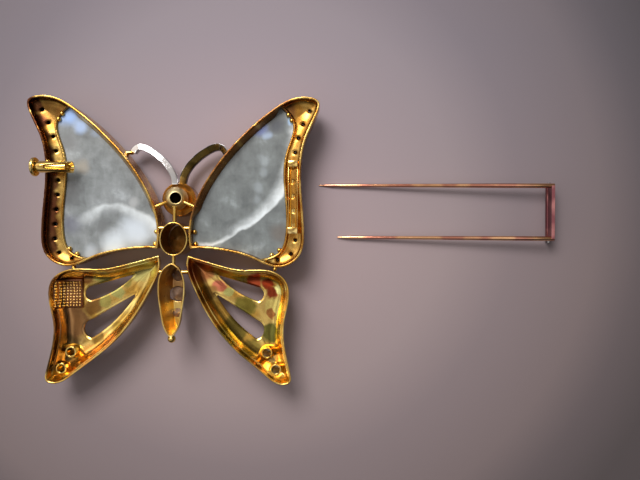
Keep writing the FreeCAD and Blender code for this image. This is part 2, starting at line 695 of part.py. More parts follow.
def fork_web(prongs):
    """The upright web between the prongs, with the hinge barrel along its foot."""
    web = box((-WEB_THICK / 2, -FORK_HALF, 0), (WEB_THICK / 2, FORK_HALF, PRONG_RISE + PRONG_ROOT_R))
    barrel = rod(BARREL_R, (0, -FORK_HALF, 0), (0, FORK_HALF, 0))
    bore = rod(BAR_R + PIVOT_GAP, (0, -FAR, 0), (0, FAR, 0))
    body = web.fuse(barrel).removeSplitter().cut(bore)
    for piece in prongs:
        body = body.cut(piece)
    between = body.common(box((-FAR, -PRONG_SPACING / 2, -FAR), (FAR, PRONG_SPACING / 2, FAR)))
    foot = body.common(box((-FAR, -FAR, -FAR), (FAR, FAR, PRONG_RISE - PRONG_ROOT_R)))
    return between.fuse(foot).removeSplitter()


def hinge_bar():
    reach = FORK_HALF + BAR_STICKS_OUT
    return rod(BAR_R, (0, -reach, 0), (0, reach, 0))


# ---- all pieces ----
def build():
    nodes = {}
    nodes["centre_collet"] = centre_collet()
    nodes["centre_stone"] = centre_stone()
    nodes["head_collet"] = head_collet()
    nodes["head_ball"] = head_ball(nodes["head_collet"])
    nodes["head_stone"] = head_stone()
    nodes["abdomen_shell"] = abdomen_shell()
    nodes["abdomen_stones"] = abdomen_stones()
    for name, side in SIDES.items():
        frame = upper_wing(side)
        if side < 0:
            frame = frame.cut(catch_body())
        panel = pearl_panel(side)
        shell = lower_wing(side)
        nodes["upper_wing_frame_" + name] = frame
        nodes["pearl_panel_" + name] = panel
        nodes["panel_claws_" + name] = panel_claws(side, frame, panel)
        nodes["band_stones_" + name] = band_stones(side)
        nodes["lower_wing_" + name] = shell
        nodes["wing_tubes_" + name] = wing_tubes(side, shell)
        nodes["wing_stones_" + name] = wing_stones(side)
        band = antenna(side, nodes["head_collet"])
        nodes["antenna_" + name] = band
        nodes["antenna_link_" + name] = antenna_link(side, band, frame)
        nodes["head_link_" + name] = head_link(side, frame, nodes["head_ball"])
        nodes["root_bead_" + name] = root_bead(side, frame, nodes["centre_collet"])
        nodes["body_link_" + name] = body_link(side, shell, nodes["abdomen_shell"])
        nodes["wing_bridge_" + name] = wing_bridge(side, frame, shell)
        nodes["antenna_stones_" + name] = antenna_stones(side)
    nodes["neck_wire"] = neck_wire(nodes["centre_collet"], nodes["head_ball"])
    nodes["abdomen_stem"] = abdomen_stem(nodes["centre_collet"], nodes["abdomen_shell"])
    nodes["tail_bead"] = tail_bead(nodes["abdomen_shell"])
    nodes["bare_plate"] = bare_plate(nodes["lower_wing_left"])
    nodes["catch_foot"] = catch_foot(nodes["upper_wing_frame_left"])
    nodes["catch_tube"] = catch_tube()
    nodes["catch_slider"] = catch_slider()
    nodes["catch_knob"] = catch_knob()
    nodes["hinge_ear_upper"] = ear(1, nodes["upper_wing_frame_right"])
    nodes["hinge_ear_lower"] = ear(-1, nodes["upper_wing_frame_right"])
    nodes["hinge_cradle"] = hinge_cradle(nodes["upper_wing_frame_right"])
    prongs = {"prong_long": prong(1, LONG_REACH), "prong_short": prong(-1, SHORT_REACH)}
    fork = dict(prongs)
    fork["fork_web"] = fork_web(prongs.values())
    fork["hinge_bar"] = hinge_bar()
    for name, shape in fork.items():
        nodes[name] = lay_down(shape.copy())
    return nodes


os.makedirs("parts", exist_ok=True)
for node_name, node_shape in build().items():
    node_shape.exportStep("parts/" + node_name + ".step")
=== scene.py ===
# %% [markdown]
# # A jewelled butterfly, lying on its face beside its loose hair fork
# The model comes from CAD as separate pieces, each already in its place. This script keeps those places and
# gives every piece the softness, finish and light of the real metal, shell and stones. Everything is in
# metres, so a size in millimetres is multiplied by MM.

# %% Load the model
import bpy
import bmesh
import json
import math
from mathutils import Matrix, Vector, noise
from mathutils.kdtree import KDTree

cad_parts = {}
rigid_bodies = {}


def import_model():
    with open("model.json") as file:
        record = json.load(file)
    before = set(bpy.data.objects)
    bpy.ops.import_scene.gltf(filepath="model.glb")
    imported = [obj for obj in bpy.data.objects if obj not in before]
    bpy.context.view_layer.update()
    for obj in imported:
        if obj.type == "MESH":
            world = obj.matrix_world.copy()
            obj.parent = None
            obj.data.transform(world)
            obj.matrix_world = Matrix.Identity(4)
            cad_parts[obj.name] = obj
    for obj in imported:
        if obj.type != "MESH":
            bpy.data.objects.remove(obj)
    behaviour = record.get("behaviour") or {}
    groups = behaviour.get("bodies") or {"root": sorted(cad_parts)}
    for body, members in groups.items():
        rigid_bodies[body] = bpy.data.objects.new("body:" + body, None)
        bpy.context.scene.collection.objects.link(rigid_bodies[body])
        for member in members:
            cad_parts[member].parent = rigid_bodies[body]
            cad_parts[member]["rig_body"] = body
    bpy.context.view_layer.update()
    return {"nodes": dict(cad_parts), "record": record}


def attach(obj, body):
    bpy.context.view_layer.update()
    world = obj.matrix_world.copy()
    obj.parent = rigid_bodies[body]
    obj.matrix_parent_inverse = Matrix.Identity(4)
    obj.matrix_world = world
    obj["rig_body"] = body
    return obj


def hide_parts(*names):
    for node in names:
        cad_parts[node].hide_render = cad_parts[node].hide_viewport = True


MM = 0.001
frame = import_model()

# %% [markdown]
# ## Camera
# The jewel is seen from straight above. The lens stands over a point just right of the right wing's edge, so
# the left wing is seen at a slant and shows the inside of its outer wall, while the right wing hides it. The
# lens is turned by less than half a degree, as a camera held by hand is. A close lens gives this strong
# perspective, so its height matters as much as its angle.

# %% Camera
CAMERA_PLACE = (26.03 * MM, 0.0, 109.25 * MM)
VIEW_WIDTH = 121.6 * MM      # width of the floor that the camera sees
CAMERA_TURN = 0.39           # degrees
SENSOR = 36.0                # mm
camera_data = bpy.data.cameras.new("camera")
camera_data.sensor_width = SENSOR
camera_data.lens = SENSOR * CAMERA_PLACE[2] / VIEW_WIDTH
camera_data.clip_start = MM
camera_data.clip_end = 10.0
camera = bpy.data.objects.new("camera", camera_data)
camera.location = CAMERA_PLACE
camera.rotation_euler = (0.0, 0.0, math.radians(CAMERA_TURN))
bpy.context.scene.collection.objects.link(camera)
bpy.context.scene.camera = camera
bpy.context.scene.view_settings.view_transform = "Standard"
print("lens", round(camera_data.lens, 2), "mm")

# %% [markdown]
# ## Helpers for materials
# Colours are written as sRGB hex values, as a paint chart gives them, and one function turns them to the
# linear values that the renderer wants. One small function adds a node with its settings and links, so a
# material reads as a list of steps. Two more do what several materials share: they draw the flat place out of
# true, as nothing handmade has a clean edge, and lay spots of colour at known places.

# %% Colour and node helpers
def linear(hex_colour):
    """An sRGB hex value as linear red, green, blue and alpha."""
    parts = [int(hex_colour[i:i + 2], 16) / 255 for i in (1, 3, 5)]
    return tuple(c / 12.92 if c <= 0.04045 else ((c + 0.055) / 1.055) ** 2.4 for c in parts) + (1.0,)


def add(tree, kind, settings=None, **inputs):
    """Adds a node. Settings go to the node, and a ramp's stops are (place, hex colour). Inputs go to its
    sockets, by name or as i0, i1, and a socket given as an input is linked."""
    node = tree.nodes.new(kind)
    for name, value in (settings or {}).items():
        if name == "stops":
            elements = node.color_ramp.elements
            while len(elements) < len(value):
                elements.new(0.5)
            for element, (place, colour) in zip(elements, value):
                element.position = place
                element.color = linear(colour)
        else:
            setattr(node, name, value)
    for name, value in inputs.items():
        key = int(name[1:]) if name[1:].isdigit() else name.replace("_", " ")
        if isinstance(value, bpy.types.NodeSocket):
            tree.links.new(value, node.inputs[key])
        else:
            node.inputs[key].default_value = value
    return node


def new_material(name):
    """A node material, with its tree and its shader."""
    material = bpy.data.materials.new(name)
    material.use_nodes = True
    return material, material.node_tree, material.node_tree.nodes["Principled BSDF"]


def bent_flat(tree, length, reach):
    """The place in the plane, drawn out of true by noise. Length and reach are in mm."""
    place = add(tree, "ShaderNodeTexCoord").outputs["Object"]
    drift = add(tree, "ShaderNodeTexNoise", Vector=place, Scale=1 / (length * MM), Detail=3.0).outputs["Color"]
    centred = add(tree, "ShaderNodeVectorMath", {"operation": "SUBTRACT"}, i0=drift, i1=(0.5, 0.5, 0.5))
    bent = add(tree, "ShaderNodeVectorMath", {"operation": "MULTIPLY_ADD"}, i0=centred.outputs["Vector"],
               i1=(2 * reach * MM,) * 3, i2=place)
    return add(tree, "ShaderNodeVectorMath", {"operation": "MULTIPLY"}, i0=bent.outputs["Vector"],
               i1=(1.0, 1.0, 0.0)).outputs["Vector"]


def tint(tree, colour, flat, spots, edge):
    """Lays spots of other colours over a colour: (x, y, radius, hex colour, strength), lengths in mm. Edge is
    the share of the radius inside which a spot keeps its full strength."""
    for x, y, radius, spot_colour, strength in spots:
        away = add(tree, "ShaderNodeVectorMath", {"operation": "DISTANCE"}, i0=flat, i1=(x * MM, y * MM, 0.0))
        away = away.outputs["Value"]
        share = add(tree, "ShaderNodeMapRange", {"interpolation_type": "SMOOTHSTEP"}, Value=away,
                    From_Min=edge * radius * MM, From_Max=radius * MM, To_Min=strength, To_Max=0.0)
        colour = add(tree, "ShaderNodeMix", {"data_type": "RGBA"}, i0=share.outputs["Result"], i6=colour,
                     i7=linear(spot_colour)).outputs[2]
    return colour


print("white is", [round(v, 3) for v in linear("#FFFFFF")])

# %% [markdown]
# ## Light and floor
# The light is one window, up and to the left, about fifty degrees high and small enough to leave a shadow
# with a soft edge. Polished gold shows only what it mirrors, so the room matters as much as the window. It is
# bright overhead and on the window's side, dark on the other, and broken by large dark shapes with fairly
# clear edges, as a real room is. A patch of sky beside the window is brighter still. A world whose brightness
# depends on the direction gives all of that. The floor is plain mauve-grey paper. Its colour is painted darker
# towards its corners, as painted fall-off of the light, and a little cooler on the window's side, as painted
# window light.

# %% Window
WINDOW_DIRECTION = Vector((-0.353, 0.748, 1.0)).normalized()
WINDOW_DISTANCE = 400 * MM
WINDOW_SIZE = (190 * MM, 190 * MM)
WINDOW_POWER = 1.44          # watts
WINDOW_COLOUR = "#FFF8F2"
FLOOR_MIDDLE = Vector((26 * MM, 0.0, 0.0))
window_data = bpy.data.lights.new("window", "AREA")
window_data.shape = "RECTANGLE"
window_data.size, window_data.size_y = WINDOW_SIZE
window_data.energy = WINDOW_POWER
window_data.color = linear(WINDOW_COLOUR)[:3]
window = bpy.data.objects.new("window", window_data)
window.location = FLOOR_MIDDLE + WINDOW_DIRECTION * WINDOW_DISTANCE
window.rotation_mode = "QUATERNION"
window.rotation_quaternion = WINDOW_DIRECTION.to_track_quat("Z", "Y")
bpy.context.scene.collection.objects.link(window)
print("window at", [round(v, 3) for v in window.location])

# %% Room
ROOM_DARK = 0.1
ROOM_BRIGHT = 1.38
ROOM_BRIGHT_SIDE = Vector((-0.36, 0.4, 0.84)).normalized()
ROOM_TURNS_AT = 0.1          # cosine of the angle from there, beyond which the room is dark
SKY_BRIGHT = 1.0
SKY_DIRECTION = Vector((-0.62, 0.45, 0.64)).normalized()     # pale sky beside the window
SKY_EDGES = (0.93, 0.98)     # cosines of the angles where the sky begins and where it is full
SHAPE_SCALE = 2.6            # a few large shapes in the whole room
SHAPE_EDGES = (0.44, 0.55)
SHAPE_DARK = 0.35
SHAPE_COLOURS = [(0.25, "#D2BEAC"), (1.0, "#F4F2F0")]
world = bpy.data.worlds.new("room")
world.use_nodes = True
bpy.context.scene.world = world
tree = world.node_tree
direction = add(tree, "ShaderNodeTexCoord").outputs["Generated"]
toward = add(tree, "ShaderNodeVectorMath", {"operation": "DOT_PRODUCT"}, i0=direction,
             i1=ROOM_BRIGHT_SIDE).outputs["Value"]
slope = add(tree, "ShaderNodeMapRange", {"interpolation_type": "SMOOTHSTEP"}, Value=toward,
            From_Min=ROOM_TURNS_AT, From_Max=1.0, To_Min=ROOM_DARK, To_Max=ROOM_BRIGHT).outputs["Result"]
sky = add(tree, "ShaderNodeVectorMath", {"operation": "DOT_PRODUCT"}, i0=direction,
          i1=SKY_DIRECTION).outputs["Value"]
sky = add(tree, "ShaderNodeMapRange", {"interpolation_type": "SMOOTHSTEP"}, Value=sky,
          From_Min=SKY_EDGES[0], From_Max=SKY_EDGES[1], To_Max=SKY_BRIGHT).outputs["Result"]
shapes = add(tree, "ShaderNodeTexNoise", Vector=direction, Scale=SHAPE_SCALE, Detail=1.0,
             Roughness=0.4).outputs["Fac"]
shapes = add(tree, "ShaderNodeMapRange", Value=shapes, From_Min=SHAPE_EDGES[0], From_Max=SHAPE_EDGES[1],
             To_Min=SHAPE_DARK, To_Max=1.0).outputs["Result"]
strength = add(tree, "ShaderNodeMath", {"operation": "MULTIPLY_ADD"}, i0=slope, i1=shapes, i2=sky)
room_colour = add(tree, "ShaderNodeValToRGB", {"stops": SHAPE_COLOURS}, Fac=shapes)
background = tree.nodes["Background"]
tree.links.new(room_colour.outputs["Color"], background.inputs["Color"])
tree.links.new(strength.outputs["Value"], background.inputs["Strength"])
print("room made, brightness from", ROOM_DARK, "to", ROOM_BRIGHT)

# %% Floor
FLOOR_HALF = 1.5             # metres
FLOOR_BELOW = 0.02 * MM      # the floor lies a hair under the pieces, so that no two faces coincide
PAINTED_LIGHT_MIDDLE = (12.7 * MM, 7.6 * MM, 0.0)    # middle of the painted light: the floor is painted brightest here
PAINTED_FALLOFF_REACH = 85 * MM
# Painted fall-off of the light: the paper's tone is painted darker away from the middle.
PAPER_TONES_AND_PAINTED_FALLOFF = [(0.0, "#A69498"), (0.2, "#A5959A"), (0.45, "#978A8E"), (0.6, "#82777C"), (0.78, "#766B6E"),
               (0.88, "#60585C"), (1.0, "#4E484B")]
PAINTED_COOL_LIGHT = "#ECF5FF"       # painted cool light: the side towards the window is painted a little bluer
PAINTED_COOL_LIGHT_FROM, PAINTED_COOL_LIGHT_TO = -5 * MM, 38 * MM        # in Y
PAPER_ROUGHNESS = 0.9
floor_mesh = bmesh.new()
bmesh.ops.create_grid(floor_mesh, x_segments=1, y_segments=1, size=FLOOR_HALF)
bmesh.ops.translate(floor_mesh, verts=floor_mesh.verts, vec=FLOOR_MIDDLE - Vector((0, 0, FLOOR_BELOW)))
floor_data = bpy.data.meshes.new("floor")
floor_mesh.to_mesh(floor_data)
floor_mesh.free()
floor = bpy.data.objects.new("floor", floor_data)
bpy.context.scene.collection.objects.link(floor)
paper, tree, shader = new_material("matt_paper_with_painted_light")
place = add(tree, "ShaderNodeTexCoord").outputs["Object"]
# The paper's colour is painted darker away from the middle and bluer towards the window: painted light.
away = add(tree, "ShaderNodeVectorMath", {"operation": "DISTANCE"}, i0=place, i1=PAINTED_LIGHT_MIDDLE)
corner = add(tree, "ShaderNodeMapRange", Value=away.outputs["Value"], From_Min=0.0, From_Max=PAINTED_FALLOFF_REACH)
tone = add(tree, "ShaderNodeValToRGB", {"stops": PAPER_TONES_AND_PAINTED_FALLOFF}, Fac=corner.outputs["Result"])
along = add(tree, "ShaderNodeSeparateXYZ", Vector=place).outputs["Y"]
cool = add(tree, "ShaderNodeMapRange", Value=along, From_Min=PAINTED_COOL_LIGHT_FROM, From_Max=PAINTED_COOL_LIGHT_TO)
tone = add(tree, "ShaderNodeMix", {"data_type": "RGBA", "blend_type": "MULTIPLY"}, i0=cool.outputs["Result"],
           i6=tone.outputs["Color"], i7=linear(PAINTED_COOL_LIGHT))
tree.links.new(tone.outputs[2], shader.inputs["Base Color"])
shader.inputs["Roughness"].default_value = PAPER_ROUGHNESS
floor_data.materials.append(paper)
print("floor", 2 * FLOOR_HALF, "m wide")

# %% [markdown]
# ## Gold
# The butterfly is cast in yellow gold and polished by hand: bright, but never flat, so its reflections break
# into patches. A metal's colour is its base colour, and this one drifts between yellow and a deeper orange.
# The patches come from a slow bump, a few millimetres long, and a finer one stands for the skin of the
# casting. Where a wing's floor mirrors one thing for a good length, a curtain or a red cloth, a spot of that
# colour is laid into the gold, because a room without objects can't be mirrored there. Rose gold, white gold
# and steel are the same recipe with other colours, so one function makes all.

# %% Metals
SLOW_BUMP = 3.6     # mm, length of the waves left by polishing
SPOT_GRAIN = 2.4    # mm, length of the wavy edges of mirrored patches
FINE_BUMP = 0.6     # mm, skin of the casting, drawn coarser than it is so that it shows
DRIFT_EDGES = (0.42, 0.58)   # noise below the first is deep gold, above the second light
POLISH_RANGE = (0.7, 1.4)    # how much duller or brighter than its mean roughness a metal gets
SPOT_CORE = 0.6     # share of its radius inside which a spot is full
OUTER_WALL = (-0.75, -0.5)   # X of the normal of a wall that faces left, and of one that no longer does


def metal(name, light, deep, roughness, wave_height=0.0, skin_height=0.0, spots=(), drift=1.6,
          inside_only=False):
    """Cast and polished metal. Heights and the drift of the spots' edges are in millimetres. With inside_only
    the walls that face left, which are outer walls, get no spots."""
    material, tree, shader = new_material(name)
    place = add(tree, "ShaderNodeTexCoord").outputs["Object"]
    slow = add(tree, "ShaderNodeTexNoise", Vector=place, Scale=1 / (SLOW_BUMP * MM), Detail=1.0).outputs["Fac"]
    fine = add(tree, "ShaderNodeTexNoise", Vector=place, Scale=1 / (FINE_BUMP * MM), Detail=1.0).outputs["Fac"]
    stops = [(DRIFT_EDGES[0], deep), (DRIFT_EDGES[1], light)]
    colour = add(tree, "ShaderNodeValToRGB", {"stops": stops}, Fac=slow).outputs["Color"]
    if spots:
        spotted = tint(tree, colour, bent_flat(tree, SPOT_GRAIN, drift), spots, SPOT_CORE)
        if inside_only:
            normal = add(tree, "ShaderNodeTexCoord").outputs["Normal"]
            facing = add(tree, "ShaderNodeSeparateXYZ", Vector=normal).outputs["X"]
            inside = add(tree, "ShaderNodeMapRange", Value=facing, From_Min=OUTER_WALL[0],
                         From_Max=OUTER_WALL[1]).outputs["Result"]
            spotted = add(tree, "ShaderNodeMix", {"data_type": "RGBA"}, i0=inside, i6=colour,
                          i7=spotted).outputs[2]
        colour = spotted
    tree.links.new(colour, shader.inputs["Base Color"])
    polish = add(tree, "ShaderNodeMapRange", Value=fine, To_Min=POLISH_RANGE[0] * roughness,
                 To_Max=POLISH_RANGE[1] * roughness)
    tree.links.new(polish.outputs["Result"], shader.inputs["Roughness"])
    waves = add(tree, "ShaderNodeBump", Height=slow, Distance=wave_height * MM).outputs["Normal"]
    skin = add(tree, "ShaderNodeBump", Height=fine, Distance=skin_height * MM, Normal=waves).outputs["Normal"]
    tree.links.new(skin, shader.inputs["Normal"])
    shader.inputs["Metallic"].default_value = 1.0
    return material


LIGHT_GOLD = "#F4D47E"
DEEP_GOLD = "#E4B658"
# Cast and hand-polished: bright, with reflections that break into patches.
yellow_gold = metal("cast_polished_yellow_gold", LIGHT_GOLD, DEEP_GOLD, 0.12, 0.12, 0.002)
# The body is polished less, so its glow is soft, and its upper half mirrors something brown.
abdomen_gold = metal("cast_yellow_gold_abdomen", "#F2DA8C", "#DEB866", 0.3, 0.1, 0.002,
                     [(0.0, -7.0, 2.4, "#9A6A4A", 0.8), (0.0, -10.0, 2.2, "#A87A4A", 0.6)])
# Turned and filed pieces are true to shape: no waves, and clean bright lines.
bright_gold = metal("turned_yellow_gold", "#F6DC96", "#EDC874", 0.15)
# The ball has a satin skin, which spreads the window over its side. Its colour is painted paler than the other
# turned gold, as painted light.
ball_gold = metal("turned_yellow_gold_ball", "#FAE6AE", "#F2D590", 0.36)
# The setting behind the head sees no window: its gold is painted dull and dark, as painted shade.
head_setting_painted_shade_gold = metal("gold_behind_head_painted_shade", "#B07A34", "#7E501F", 0.2, 0.1)
# Drawn wire and rolled sheet of the fork: pinkish. The sheet is painted darker than the wire, as painted shade
# on its upright face.
rose_gold = metal("drawn_rose_gold", "#F0BC90", "#CE8E78", 0.14)
web_painted_shade_gold = metal("rolled_rose_gold_painted_shade", "#B07674", "#865054", 0.2)
# Antennae: almost colourless. The right one mirrors the dark side of the room, and spots of painted shade
# darken its back further.
white_gold_and_painted_shade = metal("rhodium_plated_white_gold", "#EFF0F4", "#E2E4E8", 0.14,
                   spots=[(5.2, 14.8, 4.4, "#33332F", 0.9), (2.2, 12.2, 2.6, "#33332F", 0.85)])
steel = metal("polished_steel_wire", "#C9C9CC", "#B4B4B8", 0.16)
# Painted shade: nearly black gold inside the drilled holes and inside the head ball.
painted_shade_inside_gold = metal("gold_inside_painted_shade", "#3A2C18", "#1C140A", 0.5)
print("metals made")

# %% [markdown]
# ## Mother-of-pearl
# The upper wings are sheets cut from a shell. Nacre is built of layers that the cut crosses at a low angle,
# so it shows broad curved bands, soft on one side and sharper on the other, milky white on blue-grey, with
# hints of cyan where the layers interfere. Each band is drawn by its distance from the place where the
# shell's layers were centred, a little bent by noise, and clouds fill the rest.

# %% Nacre
def nacre(name, stops, bands, spots):
    """Nacre. Bands are (x, y, radius, width inside, width outside, strength, place in X where it fades in and
    where it is full), lengths in mm; spots as in tint."""
    material, tree, shader = new_material(name)
    bent = bent_flat(tree, NACRE_BEND, NACRE_REACH)
    cloud = add(tree, "ShaderNodeTexNoise", Vector=bent, Scale=1 / (CLOUD * MM), Detail=5.0,
                Roughness=0.6).outputs["Fac"]
    fine = add(tree, "ShaderNodeVectorMath", {"operation": "MULTIPLY"}, i0=bent, i1=(1.0, GROWTH_STRETCH, 1.0))
    fine = add(tree, "ShaderNodeTexNoise", Vector=fine.outputs["Vector"], Scale=1 / (GROWTH_LINE * MM),
               Detail=2.0)
    mottle = add(tree, "ShaderNodeMath", {"operation": "MULTIPLY_ADD"}, i0=fine.outputs["Fac"], i1=GROWTH_SHARE,
                 i2=cloud)
    mottle = add(tree, "ShaderNodeMath", {"operation": "SUBTRACT"}, i0=mottle.outputs["Value"],
                 i1=GROWTH_SHARE / 2).outputs["Value"]
    colour = add(tree, "ShaderNodeValToRGB", {"stops": stops}, Fac=mottle).outputs["Color"]
    colour = tint(tree, colour, bent, spots, CLOUD_CORE)
    across = add(tree, "ShaderNodeSeparateXYZ", Vector=bent).outputs["X"]
    for x, y, radius, inside, outside, strength, fade_from, fade_to in bands:
        away = add(tree, "ShaderNodeVectorMath", {"operation": "DISTANCE"}, i0=bent, i1=(x * MM, y * MM, 0.0))
        share = add(tree, "ShaderNodeMapRange", Value=mottle, From_Min=BAND_MOTTLE[0], From_Max=BAND_MOTTLE[1],
                    To_Min=BAND_LEAST, To_Max=strength).outputs["Result"]
        away = away.outputs["Value"]
        for value, low, high in ((away, radius - inside, radius), (away, radius + outside, radius),
                                 (across, fade_from, fade_to)):
            part = add(tree, "ShaderNodeMapRange", {"interpolation_type": "SMOOTHSTEP"}, Value=value,
                       From_Min=low * MM, From_Max=high * MM).outputs["Result"]
            share = add(tree, "ShaderNodeMath", {"operation": "MULTIPLY"}, i0=share, i1=part).outputs["Value"]
        colour = add(tree, "ShaderNodeMix", {"data_type": "RGBA"}, i0=share, i6=colour,
                     i7=linear(MILKY)).outputs[2]
    tree.links.new(colour, shader.inputs["Base Color"])
    shader.inputs["Roughness"].default_value = NACRE_ROUGHNESS
    shader.inputs["Coat Weight"].default_value = COAT
    shader.inputs["Coat Roughness"].default_value = COAT_ROUGHNESS
    return material


GROWTH_LINE = 0.7       # mm, width of the shell's growth lines
GROWTH_STRETCH = 0.12   # they run up and down, so their noise is stretched that way
GROWTH_SHARE = 0.14     # they show only faintly
CLOUD = 4.5             # mm, size of the clouds
CLOUD_CORE = 0.2        # a cloud is full only in its middle
NACRE_BEND = 5.0        # mm, length of the bends in bands and clouds
NACRE_REACH = 1.3       # mm, how far they bend
BAND_MOTTLE = (0.35, 0.6)    # clouds thin a band out between these values
BAND_LEAST = 0.4
NACRE_ROUGHNESS = 0.35
COAT, COAT_ROUGHNESS = 0.3, 0.15     # the polished surface above the layers
MILKY = "#E4F0F8"
LEFT_GREYS = [(0.3, "#62686C"), (0.45, "#7A8286"), (0.58, "#8C9499"), (0.72, "#AAB4BC")]
RIGHT_GREYS = [(0.3, "#585F62"), (0.45, "#6A7275"), (0.58, "#788184"), (0.72, "#96A1A6")]
LEFT_BANDS = [(-11.2, -3.9, 9.6, 1.7, 0.9, 0.7, -19.5, -13.5)]
RIGHT_BANDS = [(2.4, 18.5, 19.5, 2.4, 0.35, 1.0, 7.0, 15.0),     # the broad bright band
               (2.4, 18.5, 19.6, 0.7, 0.4, 0.75, 0.5, 4.0)]      # its thin end near the body
LEFT_CLOUDS = [(-19.8, 22.4, 3.0, "#98BEFA", 0.95), (-17.4, 20.4, 2.0, "#A8C4F0", 0.85),
               (-14.6, 19.2, 1.4, "#9AAECA", 0.6), (-7.4, 1.4, 4.2, "#D0DEEC", 0.9),
               (-11.0, -1.0, 3.4, "#D2E0EC", 0.9), (-15.6, -2.2, 2.2, "#AEBAC6", 0.85),
               (-7.6, 6.6, 1.6, "#B6BCC2", 0.6), (-17.2, 13.0, 2.0, "#A8A296", 0.6),
               (-19.6, 8.0, 3.6, "#5C6064", 0.75), (-19.4, 17.4, 2.2, "#74787C", 0.7),
               (-18.8, 2.4, 2.6, "#64687A", 0.75), (-13.2, 2.4, 1.8, "#70767A", 0.7)]
RIGHT_CLOUDS = [(15.1, 19.9, 1.9, "#7C90D8", 0.75), (16.6, 18.8, 1.2, "#A6BCDC", 0.7),
                (20.6, 21.4, 1.0, "#90C4FC", 0.9), (18.0, 20.6, 2.2, "#454B56", 0.85),
                (15.8, 14.4, 1.5, "#9AA6AE", 0.6), (15.9, 12.3, 1.4, "#98A4AC", 0.6),
                (14.8, 9.2, 1.4, "#9EAAB2", 0.6), (14.5, 7.2, 1.2, "#98A4AC", 0.5),
                (19.0, 1.0, 2.6, "#6C645E", 0.6)]
nacre_left = nacre("polished_nacre_left", LEFT_GREYS, LEFT_BANDS, LEFT_CLOUDS)
nacre_right = nacre("polished_nacre_right", RIGHT_GREYS, RIGHT_BANDS, RIGHT_CLOUDS)
print("nacre made")

# %% [markdown]
# ## Stones
# The small stones are clear brilliants, the large oval one is a brown quartz, and the ones in the body are
# seen from their dull backs. Clear stones pass light and bend it strongly, which needs transmission and the
# stone's own index of refraction.

# %% Stones
def stone(name, colours, index, transmission, roughness):
    """A cut stone with a faint veil inside."""
    material, tree, shader = new_material(name)
    place = add(tree, "ShaderNodeTexCoord").outputs["Object"]
    veil = add(tree, "ShaderNodeTexNoise", Vector=place, Scale=1 / (VEIL * MM), Detail=2.0).outputs["Fac"]
    tone = add(tree, "ShaderNodeValToRGB", {"stops": list(zip(VEIL_EDGES, colours))}, Fac=veil)
    tree.links.new(tone.outputs["Color"], shader.inputs["Base Color"])
    shader.inputs["IOR"].default_value = index
    shader.inputs["Transmission Weight"].default_value = transmission
    shader.inputs["Roughness"].default_value = roughness
    return material


VEIL = 1.2      # mm, size of the faint clouds inside a stone
VEIL_EDGES = (0.3, 0.7)
brilliant = stone("cut_diamond", ("#F4F6F8", "#FFFFFF"), 2.42, 0.85, 0.02)
brown_quartz = stone("cut_smoky_quartz", ("#4A3418", "#7A5C36"), 1.54, 0.1, 0.15)
grey_backs = stone("cut_stone_backs", ("#7A5F4C", "#A08A7C"), 1.76, 0.15, 0.15)
print("stones made")

# %% [markdown]
# ## Castings
# A casting has no sharp edge anywhere: wax shrinks, gold flows and the polisher rounds what is left. A copy of
# the CAD piece is rebuilt from small cubes, which merges it into one skin, and then smoothed. That is exactly
# the softness of a casting, and it leaves vertices everywhere, so the floor of a wing can afterwards be
# raised towards its walls as a dish. Where a vertex goes depends on how far it is from a rim or an opening, and
# a search tree of points along those edges answers that quickly.

# %% Copies and stand-ins
WELD = 0.0005 * MM       # corners of loose triangles that are nearer than this are one
JOIN = 0.001 * MM        # the same for new meshes
BODY_OF = {node: obj["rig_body"] for node, obj in frame["nodes"].items()}


def merged_copy(node):
    """A bmesh of a CAD piece with its loose triangles joined."""
    mesh = bmesh.new()
    mesh.from_mesh(frame["nodes"][node].data)
    bmesh.ops.remove_doubles(mesh, verts=mesh.verts, dist=WELD)
    return mesh


def finished(mesh, name, node, materials, smooth=True):
    """Turns a bmesh into the object that stands for a CAD piece and moves with its body."""
    data = bpy.data.meshes.new(name)
    mesh.to_mesh(data)
    mesh.free()
    if smooth:
        data.shade_smooth()
    for material in materials:
        data.materials.append(material)
    piece = bpy.data.objects.new(name, data)
    bpy.context.scene.collection.objects.link(piece)
    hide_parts(node)
    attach(piece, BODY_OF[node])
    print(name, len(data.polygons), "faces")
    return piece


print("bodies:", sorted(set(BODY_OF.values())))

# %% A casting from a CAD piece
HOLE_DARK = 0.3     # mm, radius inside which a drilled hole is painted dark, as painted shade


def cast(node, voxel, rounds=3, shape=None, material=yellow_gold, dark_near=None):
    """A softened copy of a CAD piece. Voxel is in millimetres, rounds is how often it is smoothed, shape moves
    a vertex, and what lies very near the tree dark_near is painted dark, as painted shade in a hole."""
    mesh = merged_copy(node)
    data = bpy.data.meshes.new(node + "_wax")
    mesh.to_mesh(data)
    mesh.free()
    wax = bpy.data.objects.new(node + "_wax", data)
    bpy.context.scene.collection.objects.link(wax)
    rebuild = wax.modifiers.new("rebuild", "REMESH")
    rebuild.mode = "VOXEL"
    rebuild.voxel_size = voxel * MM
    soften = wax.modifiers.new("soften", "SMOOTH")
    soften.factor = 0.5
    soften.iterations = rounds
    soft = bmesh.new()
    soft.from_mesh(wax.evaluated_get(bpy.context.evaluated_depsgraph_get()).to_mesh())
    bpy.data.objects.remove(wax)
    if shape:
        soft.normal_update()
        for vertex in soft.verts:
            shape(vertex)
    if dark_near:
        for face in soft.faces:
            place = face.calc_center_median()
            face.material_index = 1 if dark_near.find((place.x, place.y, 0.0))[2] < HOLE_DARK * MM else 0
    return finished(soft, node + "_casting", node, [material, painted_shade_inside_gold])


print("a hole is dark within", HOLE_DARK, "mm")

# %% Distances in the plane
TREE_STEP = 0.1          # mm between the points along an edge
LEVEL_SLACK = 0.01       # mm
UPRIGHT = 0.05           # Z of a wall's normal is smaller than this


